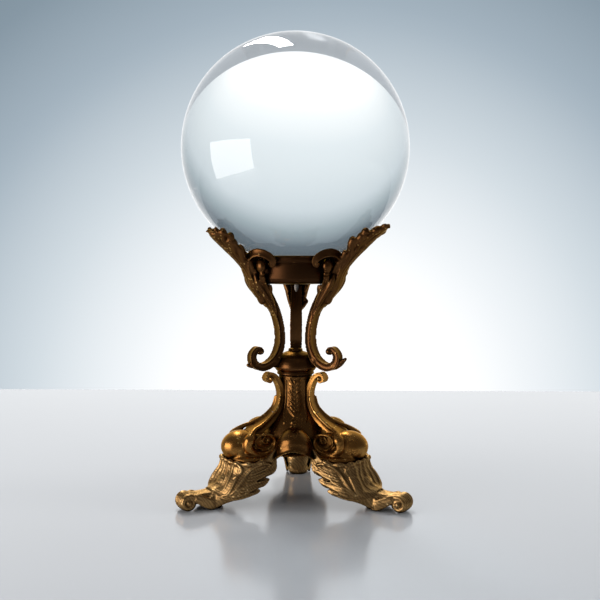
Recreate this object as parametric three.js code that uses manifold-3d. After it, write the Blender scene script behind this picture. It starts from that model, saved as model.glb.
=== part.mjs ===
// Crystal ball on a cast brass tripod stand. Millimetres, +Z up, standing on Z = 0.
//
// The stand is a cup carried by three S-scroll arms, a domed collar, a waisted column with
// three scroll brackets, and three acanthus legs. Arms, brackets and legs are drawn once, in
// an upright plane: "out" is the distance from the stand's axis, "side" is the distance
// across the limb and "up" is the height above the table. Each is then turned to its place.

import * as THREE from "three";
import { mergeVertices } from "three/addons/utils/BufferGeometryUtils.js";
import Module from "manifold-3d";

const wasm = await Module();
wasm.setup();

// Driving dimensions

const GAP = 0.3; // clearance left between pieces that touch on the real object
const LIMBS = { left: 210, right: 330, rear: 90 }; // plan direction of each limb, degrees
const HOODS = [30, 150, 270]; // plan direction of each hood between the legs, degrees
const ROUND = 24; // facets round a turned piece, a multiple of 12 so that every limb meets flats

const BALL_RADIUS = 55;
const BALL_BOTTOM = 114.6;
const BALL_CENTRE = BALL_BOTTOM + BALL_RADIUS;

const CUP_BOTTOM = 104.5;
const CUP_RIM = 118.2;
const CUP_RADIUS = 21.2;
const CUP_FLOOR = 107;
const CUP_BORE = 17.6;
const SEAT_BORE = 19.6; // the wider bore above the ledge that holds the felt
const SEAT_LEDGE = 114.6;

const DOME_BOTTOM = 60;
const DOME_TOP = 74;
const DOME_BORE = 7;
const DOME_CEILING = 68.5;

const COLUMN_TOP = DOME_BOTTOM - GAP;
const COLUMN_SOLID_BOTTOM = 49.5; // above this the column is solid round its rod hole
const SKIRT_BOTTOM = 25.6;
const ROD_RADIUS = 2;
const ROD_HOLE = ROD_RADIUS + GAP;

const STRAP_HALF_WIDTH = 2.75;
const VOLUTE_HALF_WIDTH = 5.5;
const NOTCH = { from: 12.5, to: 36.5 }; // the skirt is open here for each bracket's scroll
const ARM_HALF_WIDTH = 2.6;

const BRACKET_BOTTOM = 21.9;
const LEG_TOP = BRACKET_BOTTOM - GAP;
const FOOT_CENTRE = 57.6;
const FOOT_RADIUS = 4.3;
const FOOT_HALF_WIDTH = 4;
const FOOT_FLAT_DEPTH = 0.3; // how much of the roll is filed flat where it stands

// Where each fastener sits

const CUP_SCREW = { out: 15, headFrom: CUP_FLOOR + GAP + 1.5, headHeight: 1.5, tip: 98 };
const ARM_SCREW = { up: 65.4, headFrom: 5.2, headHeight: 1.4, tip: 12.4 };
const BRACKET_SCREW = { up: 41.4, headFrom: 5.9, headHeight: 1.5, tip: 12.8 };
const LEG_SCREW = { out: 28.5, headFrom: 17.6, headHeight: 1.6, tip: 28.5 };
const HEAD_RADIUS = 1.8;
const SHANK_RADIUS = 1.1;
const HOLE_RADIUS = SHANK_RADIUS + GAP;

// Solids

function signedVolume(position, index) {
  const a = new THREE.Vector3();
  const b = new THREE.Vector3();
  const c = new THREE.Vector3();
  let sum = 0;
  for (let i = 0; i < index.length; i += 3) {
    a.fromArray(position, 3 * index[i]);
    b.fromArray(position, 3 * index[i + 1]);
    c.fromArray(position, 3 * index[i + 2]);
    sum += a.dot(b.cross(c)) / 6;
  }
  return sum;
}

// A closed three.js geometry as a solid that can be joined and cut, facing outward.
function solid(geometry) {
  const bare = geometry.clone();
  bare.deleteAttribute("normal");
  bare.deleteAttribute("uv");
  const merged = mergeVertices(bare, 1e-4);
  const position = merged.attributes.position.array;
  const source = merged.index.array;
  const index = [];
  for (let i = 0; i < source.length; i += 3) {
    const [a, b, c] = [source[i], source[i + 1], source[i + 2]];
    if (a !== b && b !== c && c !== a) {
      index.push(a, b, c);
    }
  }
  if (signedVolume(position, index) < 0) {
    index.reverse();
  }
  const mesh = new wasm.Mesh({
    numProp: 3,
    vertProperties: new Float32Array(position),
    triVerts: new Uint32Array(index),
  });
  return new wasm.Manifold(mesh);
}

function geometryOf(manifold) {
  const mesh = manifold.getMesh();
  const geometry = new THREE.BufferGeometry();
  geometry.setAttribute("position", new THREE.BufferAttribute(mesh.vertProperties, 3));
  geometry.setIndex(new THREE.BufferAttribute(mesh.triVerts, 1));
  geometry.computeVertexNormals();
  return geometry;
}

function join(...pieces) {
  return pieces.reduce((sum, piece) => sum.add(piece));
}

// Stands a shape drawn in the XY plane upright: X stays, Y becomes up.
function upright(geometry) {
  return geometry.rotateX(Math.PI / 2);
}

function revolve(profile, segments) {
  const points = profile.map(([radius, up]) => new THREE.Vector2(radius, up));
  return solid(upright(new THREE.LatheGeometry(points, segments)));
}

// An outline in the limb's plane, given as [out, up] points, made as thick as twice halfWidth.
function slab(outline, halfWidth) {
  const shape = new THREE.Shape(outline.map(([out, up]) => new THREE.Vector2(out, up)));
  const body = new THREE.ExtrudeGeometry(shape, { depth: 2 * halfWidth, bevelEnabled: false });
  return solid(upright(body).translate(0, halfWidth, 0));
}

// The outline of a strap along a curve; each point of the route is [out, up, half thickness].
function strapOutline(route, steps) {
  const curve = new THREE.CatmullRomCurve3(route.map((p) => new THREE.Vector3(...p)));
  const upper = [];
  const lower = [];
  for (let i = 0; i <= steps; i += 1) {
    const p = curve.getPoint(i / steps);
    const along = curve.getTangent(i / steps).setZ(0).normalize();
    upper.push([p.x - along.y * p.z, p.y + along.x * p.z]);
    lower.push([p.x + along.y * p.z, p.y - along.x * p.z]);
  }
  return [...lower, ...upper.reverse()];
}

// A plate of even thickness over the surface place(along, across), along from 0 to 1 and
// across from -1 to 1.
function plate(place, alongSteps, acrossSteps, thickness) {
  const geometry = new THREE.BoxGeometry(2, 1, 1, acrossSteps, alongSteps, 1);
  const position = geometry.attributes.position;
  const step = 1e-3;
  for (let i = 0; i < position.count; i += 1) {
    const across = position.getX(i);
    const along = position.getY(i) + 0.5;
    const face = position.getZ(i);
    const here = place(along, across);
    const edgeAlong = along > 0.5 ? -step : step;
    const edgeAcross = across > 0 ? -step : step;
    const tangent = place(along + edgeAlong, across).sub(here).multiplyScalar(1 / edgeAlong);
    const width = place(along, across + edgeAcross).sub(here).multiplyScalar(1 / edgeAcross);
    const normal = width.cross(tangent).normalize();
    here.addScaledVector(normal, face * thickness);
    position.setXYZ(i, here.x, here.y, here.z);
  }
  return solid(geometry);
}

function block(outFrom, outTo, halfWidth, upFrom, upTo) {
  const size = [outTo - outFrom, 2 * halfWidth, upTo - upFrom];
  const body = new THREE.BoxGeometry(...size);
  return solid(body.translate((outFrom + outTo) / 2, 0, (upFrom + upTo) / 2));
}

function post(radius, upFrom, upTo, segments = 12) {
  const body = new THREE.CylinderGeometry(radius, radius, upTo - upFrom, segments);
  return upright(body).translate(0, 0, (upFrom + upTo) / 2);
}

function turned(manifold, degrees) {
  return manifold.rotate([0, 0, degrees]);
}

function cutAt(body, cutter, directions) {
  return directions.reduce((rest, degrees) => rest.subtract(turned(cutter, degrees)), body);
}

// Screws. A screw is drawn along Z with its head below, then laid along the limb if radial.

function screw(placement) {
  const length = Math.abs(placement.tip - placement.headFrom);
  return revolve(
    [
      [0, 0],
      [HEAD_RADIUS, 0],
      [HEAD_RADIUS, placement.headHeight],
      [SHANK_RADIUS, placement.headHeight],
      [SHANK_RADIUS, length],
      [0, length],
    ],
    12,
  );
}

function radialScrew(placement) {
  return screw(placement).rotate([0, 90, 0]).translate([placement.headFrom, 0, placement.up]);
}

function radialHole(placement, from) {
  const depth = placement.tip + GAP - from;
  return solid(post(HOLE_RADIUS, 0, depth)).rotate([0, 90, 0]).translate([from, 0, placement.up]);
}

function verticalHole(out, from, to) {
  return solid(post(HOLE_RADIUS, from, to)).translate([out, 0, 0]);
}

// Ball, felt and cup

function sphere(radius) {
  const body = new THREE.SphereGeometry(radius, 36, 20);
  return solid(upright(body).translate(0, 0, BALL_CENTRE));
}

function makeBall() {
  return sphere(BALL_RADIUS);
}

function ballUnderside(radius) {
  return BALL_CENTRE - Math.sqrt(BALL_RADIUS ** 2 - radius ** 2);
}

function makeFelt() {
  const inner = CUP_BORE - 0.8;
  const outer = SEAT_BORE - GAP;
  return revolve(
    [
      [inner, SEAT_LEDGE + GAP],
      [outer, SEAT_LEDGE + GAP],
      [outer, ballUnderside(outer) - GAP],
      [inner, ballUnderside(inner) - GAP],
      [inner, SEAT_LEDGE + GAP],
    ],
    ROUND,
  );
}

function cupWall(grow) {
  return [
    [19.4 + grow, CUP_BOTTOM - grow],
    [20.7 + grow, 107.2],
    [20.75 + grow, 112.4],
    [20.5 + grow, 114.8],
    [CUP_RADIUS + grow, 115.8],
    [CUP_RADIUS + grow, CUP_RIM - 0.5],
  ];
}

function makeCup() {
  const body = revolve(
    [
      [0, CUP_BOTTOM + 1],
      [11.5, CUP_BOTTOM],
      ...cupWall(0),
      [CUP_RADIUS - 0.6, CUP_RIM],
      [SEAT_BORE, ballUnderside(SEAT_BORE) - GAP],
      [SEAT_BORE, SEAT_LEDGE],
      [CUP_BORE, SEAT_LEDGE],
      [CUP_BORE, CUP_FLOOR + 1.2],
      [CUP_BORE - 1.2, CUP_FLOOR],
      [0, CUP_FLOOR],
    ],
    ROUND,
  );
  const hole = verticalHole(CUP_SCREW.out, CUP_BOTTOM - 2, CUP_FLOOR + 1);
  return cutAt(body, hole, Object.values(LIMBS));
}

function cupEnvelope() {
  return revolve(
    [[0, CUP_BOTTOM - GAP], ...cupWall(GAP), [CUP_RADIUS + GAP, BALL_CENTRE], [0, BALL_CENTRE]],
    ROUND,
  );
}

// Domed collar

function domeWall(grow) {
  return [
    [8.6 + grow, DOME_BOTTOM],
    [8.9 + grow, 60.9],
    [8.6 + grow, 61.6],
    [9.6 + grow, 63.2],
    [9.4 + grow, 65.8],
    [8.2 + grow, 68.4],
    [6.4 + grow, 70.6],
    [5.2 + grow, DOME_TOP - 1.2],
  ];
}

function makeDome() {
  const boss = 3.8;
  const body = revolve(
    [
      [0, DOME_TOP],
      [4.4, DOME_TOP],
      ...domeWall(0).reverse(),
      [DOME_BORE, DOME_BOTTOM],
      [DOME_BORE, 66.6],
      [5.6, DOME_CEILING],
      [boss, DOME_CEILING],
      [boss, 63],
      [ROD_HOLE, 63],
      [ROD_HOLE, 71.6],
      [0, 71.6],
    ],
    ROUND,
  );
  const hole = radialHole(ARM_SCREW, DOME_BORE - 1);
  return cutAt(body, hole, Object.values(LIMBS));
}

function domeEnvelope() {
  return revolve(
    [[0, DOME_BOTTOM], ...domeWall(GAP), [4.4 + GAP, DOME_TOP + GAP], [0, DOME_TOP + GAP]],
    ROUND,
  );
}

// Arms. Each rises from a hooked scroll beside the dome, carries the cup on its shoulder and
// ends in a curled acanthus leaf beside the ball.

const ARM_ROUTE = [
  [26.2, 113.5, 1.4],
  [22.6, 107.5, 3.0],
  [18.6, 101.5, 4.6],
  [15.2, 96.8, 3.4],
  [11.6, 91.6, 2.3],
  [9.6, 86, 2.0],
  [8.9, 80, 2.0],
  [9.2, 74.6, 2.1],
  [11, 69.4, 2.2],
  [14.6, 65.6, 2.1],
  [19.3, 64.5, 2.0],
  [23.2, 66.7, 1.9],
  [23.9, 70.4, 1.8],
  [21.4, 73.3, 1.7],
  [18.6, 72.6, 1.4],
];

// Along the leaf's midrib: [out, side, up] of the rib, with the half width as side.
const LEAF_ROUTE = [
  [12.6, 4.0, 90],
  [16.2, 5.4, 94],
  [21.3, 7.0, 99.8],
  [24.2, 7.8, 104],
  [25.8, 8.4, 108.4],
  [28.4, 8.5, 112.6],
  [32.6, 7.8, 117],
  [37.6, 6.6, 121.5],
  [43, 4.6, 126],
  [48.6, 1.6, 131.8],
];
const LEAF_THICKNESS = 1.6;
const LEAF_CUPPING = 0.085; // how far a leaf's edge rises, per square of its half width

function leafSurface() {
  const curve = new THREE.CatmullRomCurve3(LEAF_ROUTE.map((p) => new THREE.Vector3(...p)));
  return (along, across) => {
    const p = curve.getPoint(along);
    const tangent = curve.getTangent(along).setY(0).normalize();
    const side = across * p.y;
    const rise = LEAF_CUPPING * side * side;
    return new THREE.Vector3(p.x - tangent.z * rise, side, p.z + tangent.x * rise);
  };
}

function makeArm() {
  const strap = slab(strapOutline(ARM_ROUTE, 44), ARM_HALF_WIDTH);
  const leaf = plate(leafSurface(), 14, 4, LEAF_THICKNESS);
  const lug = block(8, 14.2, 2.2, 63.6, 67.4);
  const spur = slab([[23.6, 65.6], [25.6, 65.9], [27.6, 67.6], [25, 68.2]], 1.2);
  return join(strap, leaf, lug, spur)
    .subtract(cupEnvelope())
    .subtract(domeEnvelope())
    .subtract(sphere(BALL_RADIUS + 2 * GAP))
    .subtract(verticalHole(CUP_SCREW.out, CUP_SCREW.tip - GAP, CUP_BOTTOM))
    .subtract(radialHole(ARM_SCREW, 8));
}

// Column: a hollow casting with a solid neck, flaring into a skirt with three hoods.

function columnWall(grow) {
  return [
    [8.4 + grow, COLUMN_TOP],
    [8.1 + grow, 55],
    [8.0 + grow, 50],
    [9.0 + grow, 45.8],
    [11.4 + grow, 42.2],
    [14.4 + grow, 39.4],
    [17.4 + grow, 37],
    [19.4 + grow, 33.6],
    [20.2 + grow, 29],
    [20.2 + grow, SKIRT_BOTTOM],
  ];
}

const COLUMN_CAVITY = [
  [17.8, SKIRT_BOTTOM],
  [17.8, 29],
  [17.2, 32.6],
  [15.4, 35.2],
  [12.4, 37.4],
  [9.2, 40.4],
  [8.2, 43.4],
  [5.4, 46.4],
  [5.2, COLUMN_SOLID_BOTTOM],
];

const HOOD = { out: 17.5, up: 27.6, radii: [9.9, 9.2, 8.4], wall: 2.2, rim: 24.6, arch: 3.2 };

function ellipsoid(out, up, radii) {
  const ball = new THREE.SphereGeometry(1, 16, 10);
  return solid(upright(ball).scale(...radii).translate(out, 0, up));
}

function makeHood() {
  const archWidth = 6.4;
  const arch = new THREE.CylinderGeometry(archWidth, archWidth, 30, 12)
    .rotateZ(Math.PI / 2)
    .scale(1, 1, HOOD.arch / archWidth)
    .translate(24, 0, HOOD.rim);
  return ellipsoid(HOOD.out, HOOD.up, HOOD.radii)
    .subtract(block(0, 40, 20, HOOD.rim - 20, HOOD.rim))
    .subtract(solid(arch));
}

function makeColumn() {
  const cavity = revolve([[0, 20], [COLUMN_CAVITY[0][0], 20], ...COLUMN_CAVITY,
    [0, COLUMN_SOLID_BOTTOM]], ROUND);
  const outside = revolve([[0, COLUMN_TOP], ...columnWall(0), [0, SKIRT_BOTTOM]], ROUND);
  const hood = makeHood();
  const underHood = ellipsoid(HOOD.out, HOOD.up - 1, HOOD.radii.map((r) => r - HOOD.wall));
  const rodHole = solid(post(ROD_HOLE, COLUMN_SOLID_BOTTOM - 1, COLUMN_TOP + 1));
  const notch = block(NOTCH.from - GAP, 30, VOLUTE_HALF_WIDTH + GAP, 20, NOTCH.to + GAP);
  const screwHole = radialHole(BRACKET_SCREW, 6);
  let body = join(outside, ...HOODS.map((degrees) => turned(hood, degrees)));
  body = body.subtract(cavity).subtract(rodHole);
  body = cutAt(body, underHood, HOODS);
  body = cutAt(body, notch, Object.values(LIMBS));
  return cutAt(body, screwHole, Object.values(LIMBS));
}

function columnEnvelope() {
  return revolve([[0, COLUMN_TOP + GAP], ...columnWall(GAP), [0, SKIRT_BOTTOM]], ROUND);
}

// Scroll brackets: a strap down the column, a scroll at each end and a round shoulder that
// carries the leg.

const BRACKET_ROUTE = [
  [12.6, 58.2, 1.6],
  [9.6, 56, 1.9],
  [8.1, 52.8, 1.9],
  [8.0, 49.4, 1.9],
  [9.2, 45.6, 1.9],
  [11.8, 42, 2.0],
  [15.6, 38.8, 2.1],
  [20.4, 35.9, 2.3],
  [26, 33.6, 2.4],
  [32, 31.2, 2.4],
];
const TOP_VOLUTE = { out: 14.4, up: 59.3, radius: 3.1 };
const BIG_VOLUTE = { out: 22.4, up: 29.3, halfLength: 8.4, halfHeight: 5.8 };
const SHOULDER = { out: 29.3, up: 28.6, radii: [9, 7.5, 6.8] };

function ovalOutline(out, up, halfLength, halfHeight, points) {
  const oval = new THREE.EllipseCurve(out, up, halfLength, halfHeight);
  return oval.getSpacedPoints(points).slice(0, points).map((p) => [p.x, p.y]);
}

function makeBracket() {
  const strap = slab(strapOutline(BRACKET_ROUTE, 22), STRAP_HALF_WIDTH);
  const top = TOP_VOLUTE;
  const big = BIG_VOLUTE;
  const topVolute = slab(ovalOutline(top.out, top.up, top.radius, top.radius, 16), 3.2);
  const bigVolute = slab(
    ovalOutline(big.out, big.up, big.halfLength, big.halfHeight, 24),
    VOLUTE_HALF_WIDTH,
  );
  const shoulder = ellipsoid(SHOULDER.out, SHOULDER.up, SHOULDER.radii);
  return join(strap, topVolute, bigVolute, shoulder)
    .subtract(columnNeckEnvelope())
    .subtract(block(0, 60, 20, 0, BRACKET_BOTTOM))
    .subtract(radialHole(BRACKET_SCREW, 6))
    .subtract(verticalHole(LEG_SCREW.out, 18, LEG_SCREW.tip + GAP));
}

// The part of the column that the straps lie on; the skirt below it is notched instead.
function columnNeckEnvelope() {
  return columnEnvelope().subtract(block(NOTCH.from, 60, 20, 0, NOTCH.to));
}

// Legs: an acanthus leaf bent into a half cone, open towards the axis, on a rolled foot.

const LEG_SPINE = [
  [35.4, 0, LEG_TOP - 0.2],
  [36.6, 0, 18.4],
  [38.2, 0, 14.2],
  [39.8, 0, 10.6],
  [42.4, 0, 8.6],
];
const LEG_WING = [
  [17.8, 13.4, 20.6],
  [18.4, 14, 17.4],
  [22.6, 13, 12.6],
  [29.4, 11, 8.6],
  [41, 5.6, 5.4],
];
const LEG_THICKNESS = 2;
const LEG_SQUARENESS = 2.6; // the higher, the flatter the leg's front and the squarer its corners

function legSurface() {
  const spine = new THREE.CatmullRomCurve3(LEG_SPINE.map((p) => new THREE.Vector3(...p)));
  const wing = new THREE.CatmullRomCurve3(LEG_WING.map((p) => new THREE.Vector3(...p)));
  return (along, across) => {
    const middle = spine.getPoint(along);
    const edge = wing.getPoint(along);
    const share = Math.abs(across) ** LEG_SQUARENESS;
    return new THREE.Vector3(
      middle.x + (edge.x - middle.x) * share,
      edge.y * Math.sin((across * Math.PI) / 2),
      middle.z + (edge.z - middle.z) * share,
    );
  };
}

function makeLeg() {
  const shell = plate(legSurface(), 8, 8, LEG_THICKNESS);
  const shelf = block(22, 35.6, 6.4, LEG_TOP - 2, LEG_TOP);
  const roll = slab(ovalOutline(FOOT_CENTRE, FOOT_RADIUS - FOOT_FLAT_DEPTH, FOOT_RADIUS,
    FOOT_RADIUS, 20), FOOT_HALF_WIDTH);
  const instep = slab(
    strapOutline([[39.6, 9.4, 1.2], [43.6, 7.6, 1.2], [48, 7, 1.2], [52.6, 7.1, 1.1],
      [56.6, 7, 1.1]], 10),
    FOOT_HALF_WIDTH,
  );
  const lappet = slab([[42, 7.6], [43, 3], [46.6, 0.6], [50.6, 2], [54.4, 4.4], [53, 7.2]], 4.4);
  return join(shell, shelf, roll, instep, lappet)
    .subtract(block(0, 80, 30, -5, 0))
    .subtract(block(0, 80, 30, LEG_TOP, LEG_TOP + 5))
    .subtract(verticalHole(LEG_SCREW.out, 18, LEG_TOP + 2));
}

// Tie rod with its washer and nut, drawn up inside the column

function makeTieRod() {
  return solid(post(ROD_RADIUS, 42.6, 71.2, 12));
}

function makeWasher() {
  const top = COLUMN_SOLID_BOTTOM - GAP;
  const bottom = top - 1.2;
  return revolve([[ROD_HOLE, bottom], [4.6, bottom], [4.6, top], [ROD_HOLE, top],
    [ROD_HOLE, bottom]], 16);
}

function makeNut() {
  const top = COLUMN_SOLID_BOTTOM - 2 * GAP - 1.2;
  return solid(post(4.04, top - 3.2, top, 6)).subtract(solid(post(ROD_HOLE, 40, 60, 12)));
}

// Materials

const glass = { color: 0xdfe8ea, roughness: 0.02, metalness: 0 };
const felt = { color: 0x2c3a2e, roughness: 1, metalness: 0 };
const darkBrass = { color: 0x6f4a22, roughness: 0.38, metalness: 1 };
const goldBrass = { color: 0x9a713a, roughness: 0.4, metalness: 1 };
const steel = { color: 0x8d8a84, roughness: 0.45, metalness: 1 };

function part(name, manifold, look) {
  const mesh = new THREE.Mesh(geometryOf(manifold), new THREE.MeshStandardMaterial(look));
  mesh.name = name;
  return mesh;
}

// Assembly. The origin is the middle of the footprint box: the rear foot reaches further back
// than the ball reaches forward, so the stand's axis lies a little in front of the origin.

const crystalBall = new THREE.Group();
crystalBall.position.y = -(FOOT_CENTRE + FOOT_RADIUS - BALL_RADIUS) / 2;

crystalBall.add(part("ball", makeBall(), glass));
crystalBall.add(part("felt_seat", makeFelt(), felt));
crystalBall.add(part("cup", makeCup(), darkBrass));
crystalBall.add(part("dome_collar", makeDome(), darkBrass));
crystalBall.add(part("column", makeColumn(), goldBrass));
crystalBall.add(part("tie_rod", makeTieRod(), steel));
crystalBall.add(part("rod_washer", makeWasher(), steel));
crystalBall.add(part("rod_nut", makeNut(), steel));

const limbPieces = {
  arm: [makeArm(), darkBrass],
  scroll_bracket: [makeBracket(), goldBrass],
  leg: [makeLeg(), goldBrass],
  cup_screw: [screw(CUP_SCREW).rotate([180, 0, 0])
    .translate([CUP_SCREW.out, 0, CUP_SCREW.headFrom]), steel],
  arm_screw: [radialScrew(ARM_SCREW), steel],
  bracket_screw: [radialScrew(BRACKET_SCREW), steel],
  leg_screw: [screw(LEG_SCREW).translate([LEG_SCREW.out, 0, LEG_SCREW.headFrom]), steel],
};

for (const [place, degrees] of Object.entries(LIMBS)) {
  const limb = new THREE.Group();
  limb.rotation.z = THREE.MathUtils.degToRad(degrees);
  for (const [piece, [manifold, look]] of Object.entries(limbPieces)) {
    limb.add(part(`${piece}_${place}`, manifold, look));
  }
  crystalBall.add(limb);
}

export default crystalBall;
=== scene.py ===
"""Crystal ball on a cast brass tripod stand: the visual model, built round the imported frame.

Each casting is shaped in millimetres in its own upright plane, as [out, side, up]: the distance
from the stand's axis, the distance across the limb and the height above the table. Its parts are
closed shells that overlap, which a fine voxel remesh fuses into one skin with soft fillets, as
a real casting has. It is then scaled to metres and turned to its place round the axis.
"""
import math

import bmesh
import bpy
import numpy as np
from mathutils import Matrix, Vector


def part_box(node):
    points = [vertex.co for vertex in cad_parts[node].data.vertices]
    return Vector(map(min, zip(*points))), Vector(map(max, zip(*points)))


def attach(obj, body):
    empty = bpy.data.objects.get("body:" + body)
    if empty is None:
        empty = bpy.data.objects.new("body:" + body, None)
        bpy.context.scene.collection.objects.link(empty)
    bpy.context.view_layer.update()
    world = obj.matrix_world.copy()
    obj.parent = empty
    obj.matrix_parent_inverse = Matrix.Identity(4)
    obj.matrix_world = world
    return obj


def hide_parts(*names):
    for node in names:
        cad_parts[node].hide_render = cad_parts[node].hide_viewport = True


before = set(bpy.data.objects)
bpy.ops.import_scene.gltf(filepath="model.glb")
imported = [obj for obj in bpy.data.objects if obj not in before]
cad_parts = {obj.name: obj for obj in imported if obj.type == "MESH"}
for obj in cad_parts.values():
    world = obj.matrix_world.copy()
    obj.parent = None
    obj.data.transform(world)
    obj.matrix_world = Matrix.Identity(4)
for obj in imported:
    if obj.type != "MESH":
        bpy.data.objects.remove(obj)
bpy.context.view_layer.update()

MM = 0.001
LIMBS = {"left": 210, "right": 330, "rear": 90}
HOODS = (30, 150, 270)

ball_low, ball_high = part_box("ball")
BALL_CENTRE = (ball_low + ball_high) / 2
BALL_RADIUS = (ball_high.z - ball_low.z) / 2 / MM
BALL_UP = BALL_CENTRE.z / MM
AXIS_Y = BALL_CENTRE.y
CUP_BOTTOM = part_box("cup")[0].z / MM
CUP_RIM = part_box("cup")[1].z / MM

# ---------------------------------------------------------------- curves and shells


def spline(rows, count):
    """count rows along a smooth curve through the given rows of numbers."""
    p = np.array(rows, float)
    p = np.vstack([2 * p[0] - p[1], p, 2 * p[-1] - p[-2]])
    spans = len(p) - 3
    t = np.linspace(0, spans, count)
    i = np.minimum(t.astype(int), spans - 1)
    f = (t - i)[:, None]
    a, b, c, d = p[i], p[i + 1], p[i + 2], p[i + 3]
    return 0.5 * (2 * b + (c - a) * f + (2 * a - 5 * b + 4 * c - d) * f**2
                  + (3 * b - a - 3 * c + d) * f**3)


def unit(v):
    return v / np.maximum(np.linalg.norm(v, axis=-1, keepdims=True), 1e-9)


def step_up(x, low, high):
    """0 below low, 1 above high, smooth between."""
    t = np.clip((x - low) / (high - low), 0, 1)
    return t * t * (3 - 2 * t)


def full_turn(count):
    """Angles spaced evenly round a circle."""
    return np.linspace(0, 2 * np.pi, count, endpoint=False)


def revolved(profile, around):
    """Rings about the stand's axis, one for each [radius, up] of the profile."""
    u = full_turn(around)
    return np.stack([profile[:, None, 0] * np.cos(u), profile[:, None, 0] * np.sin(u),
                     np.repeat(profile[:, 1:2], around, 1)], -1)


def ring_faces(count, around, closed=False):
    """The faces between each ring and the next; closed joins the last ring to the first."""
    faces = []
    for i in range(count if closed else count - 1):
        n = (i + 1) % count
        for j in range(around):
            k = (j + 1) % around
            faces.append((i * around + j, i * around + k, n * around + k, n * around + j))
    return faces


def rings_shell(rings):
    """A closed shell through rings of points, with a point closing each end."""
    count, around = rings.shape[:2]
    points = np.vstack([rings.reshape(-1, 3), rings[0].mean(0), rings[-1].mean(0)])
    start, end = count * around, count * around + 1
    faces = ring_faces(count, around)
    last = (count - 1) * around
    for j in range(around):
        k = (j + 1) % around
        faces.append((start, k, j))
        faces.append((end, last + j, last + k))
    return points, faces


def circle():
    t = full_turn(16)
    return np.stack([np.cos(t), np.sin(t)], 1)


def bone(dent, flank=None, per_side=7):
    """A rounded square section with hollow sides, so that its edges stand up."""
    flank = dent if flank is None else flank
    t = np.linspace(-1, 1, per_side, endpoint=False)
    face, side = 1 - dent * (1 - t**2), 1 - flank * (1 - t**2)
    sides = [np.stack(pair, 1) for pair in ((t, -face), (side, t), (-t, face), (-side, -t))]
    section = np.vstack(sides)
    corner = np.abs(section[:, 0] * section[:, 1])
    return section * (1 - 0.16 * corner**2)[:, None]


def bar(route, section, steps):
    """A bar in the limb's plane. Each row of the route is [out, up, half thickness, half width]."""
    rows = spline(route, steps)
    centre = np.stack([rows[:, 0], np.zeros(steps), rows[:, 1]], 1)
    along = unit(np.gradient(centre, axis=0))
    across = np.array([0.0, 1.0, 0.0])
    normal = np.cross(along, across)
    rings = (centre[:, None] + section[None, :, :1] * rows[:, None, 3:4] * across
             + section[None, :, 1:] * rows[:, None, 2:3] * normal[:, None])
    return rings_shell(rings)


def cord(route, steps, section=None):
    """A tapering bar along any curve. Each row of the route is [out, side, up, radius]."""
    section = circle() if section is None else section
    rows = spline(route, steps)
    centre = rows[:, :3]
    along = unit(np.gradient(centre, axis=0))
    normal = np.zeros_like(along)
    first = np.array([0.0, 0.0, 1.0]) if abs(along[0, 2]) < 0.9 else np.array([1.0, 0.0, 0.0])
    normal[0] = unit(first - along[0] * along[0].dot(first))
    for i in range(1, steps):
        carried = normal[i - 1] - along[i] * along[i].dot(normal[i - 1])
        normal[i] = unit(carried)
    across = np.cross(along, normal)
    rings = centre[:, None] + rows[:, None, 3:4] * (
        section[None, :, :1] * across[:, None] + section[None, :, 1:] * normal[:, None])
    return rings_shell(rings)


def egg(centre, radii, rings=18, around=28):
    """A closed ellipsoid."""
    t, u = np.meshgrid(np.linspace(0, np.pi, rings + 2)[1:-1], full_turn(around), indexing="ij")
    ball = np.stack([np.sin(t) * np.cos(u), np.sin(t) * np.sin(u), np.cos(t)], -1)
    return rings_shell(np.array(centre) + ball * np.array(radii))


def sheet(place, along, across, thickness, relief=None, facing=1):
    """A closed plate over place(a, b), a in 0..1 and b in -1..1. relief lifts its outer face."""
    a, b = np.meshgrid(np.linspace(0, 1, along), np.linspace(-1, 1, across), indexing="ij")
    middle = place(a, b)
    normal = facing * unit(np.cross(np.gradient(middle, axis=1), np.gradient(middle, axis=0)))
    half = (thickness(a, b) if callable(thickness) else thickness) * np.ones_like(a) / 2
    lift = relief(a, b) if relief else 0 * a
    outer = middle + normal * (half + lift)[..., None]
    inner = middle - normal * (half - lift)[..., None]
    points = np.vstack([outer.reshape(-1, 3), inner.reshape(-1, 3)])
    below = along * across
    faces = []
    for i in range(along - 1):
        for j in range(across - 1):
            k = i * across + j
            faces.append((k, k + 1, k + across + 1, k + across))
            faces.append((below + k, below + k + across, below + k + across + 1, below + k + 1))
    rim = ([j for j in range(across)]
           + [i * across + across - 1 for i in range(1, along)]
           + [(along - 1) * across + j for j in range(across - 2, -1, -1)]
           + [i * across for i in range(along - 2, 0, -1)])
    for n, k in enumerate(rim):
        m = rim[(n + 1) % len(rim)]
        faces.append((m, k, below + k, below + m))
    return points, faces


def vein(place, rows, steps, facing=1):
    """A ridge that follows a surface. Each row is [a, b, radius, height above the surface]."""
    rows = spline(rows, steps)
    a, b = np.clip(rows[:, 0], 0, 1), np.clip(rows[:, 1], -1, 1)
    small = 0.004
    point = place(a, b)
    down = place(np.clip(a + small, 0, 1), b) - place(np.clip(a - small, 0, 1), b)
    across = place(a, np.clip(b + small, -1, 1)) - place(a, np.clip(b - small, -1, 1))
    point = point + facing * unit(np.cross(across, down)) * rows[:, 3:4]
    return cord(np.column_stack([point, rows[:, 2]]), steps)


def mirrored(shell):
    points, faces = shell
    return points * np.array([1, -1, 1]), [tuple(reversed(face)) for face in faces]


def both_sides(shell):
    return [shell, mirrored(shell)]


# ---------------------------------------------------------------- meshes and pieces


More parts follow.
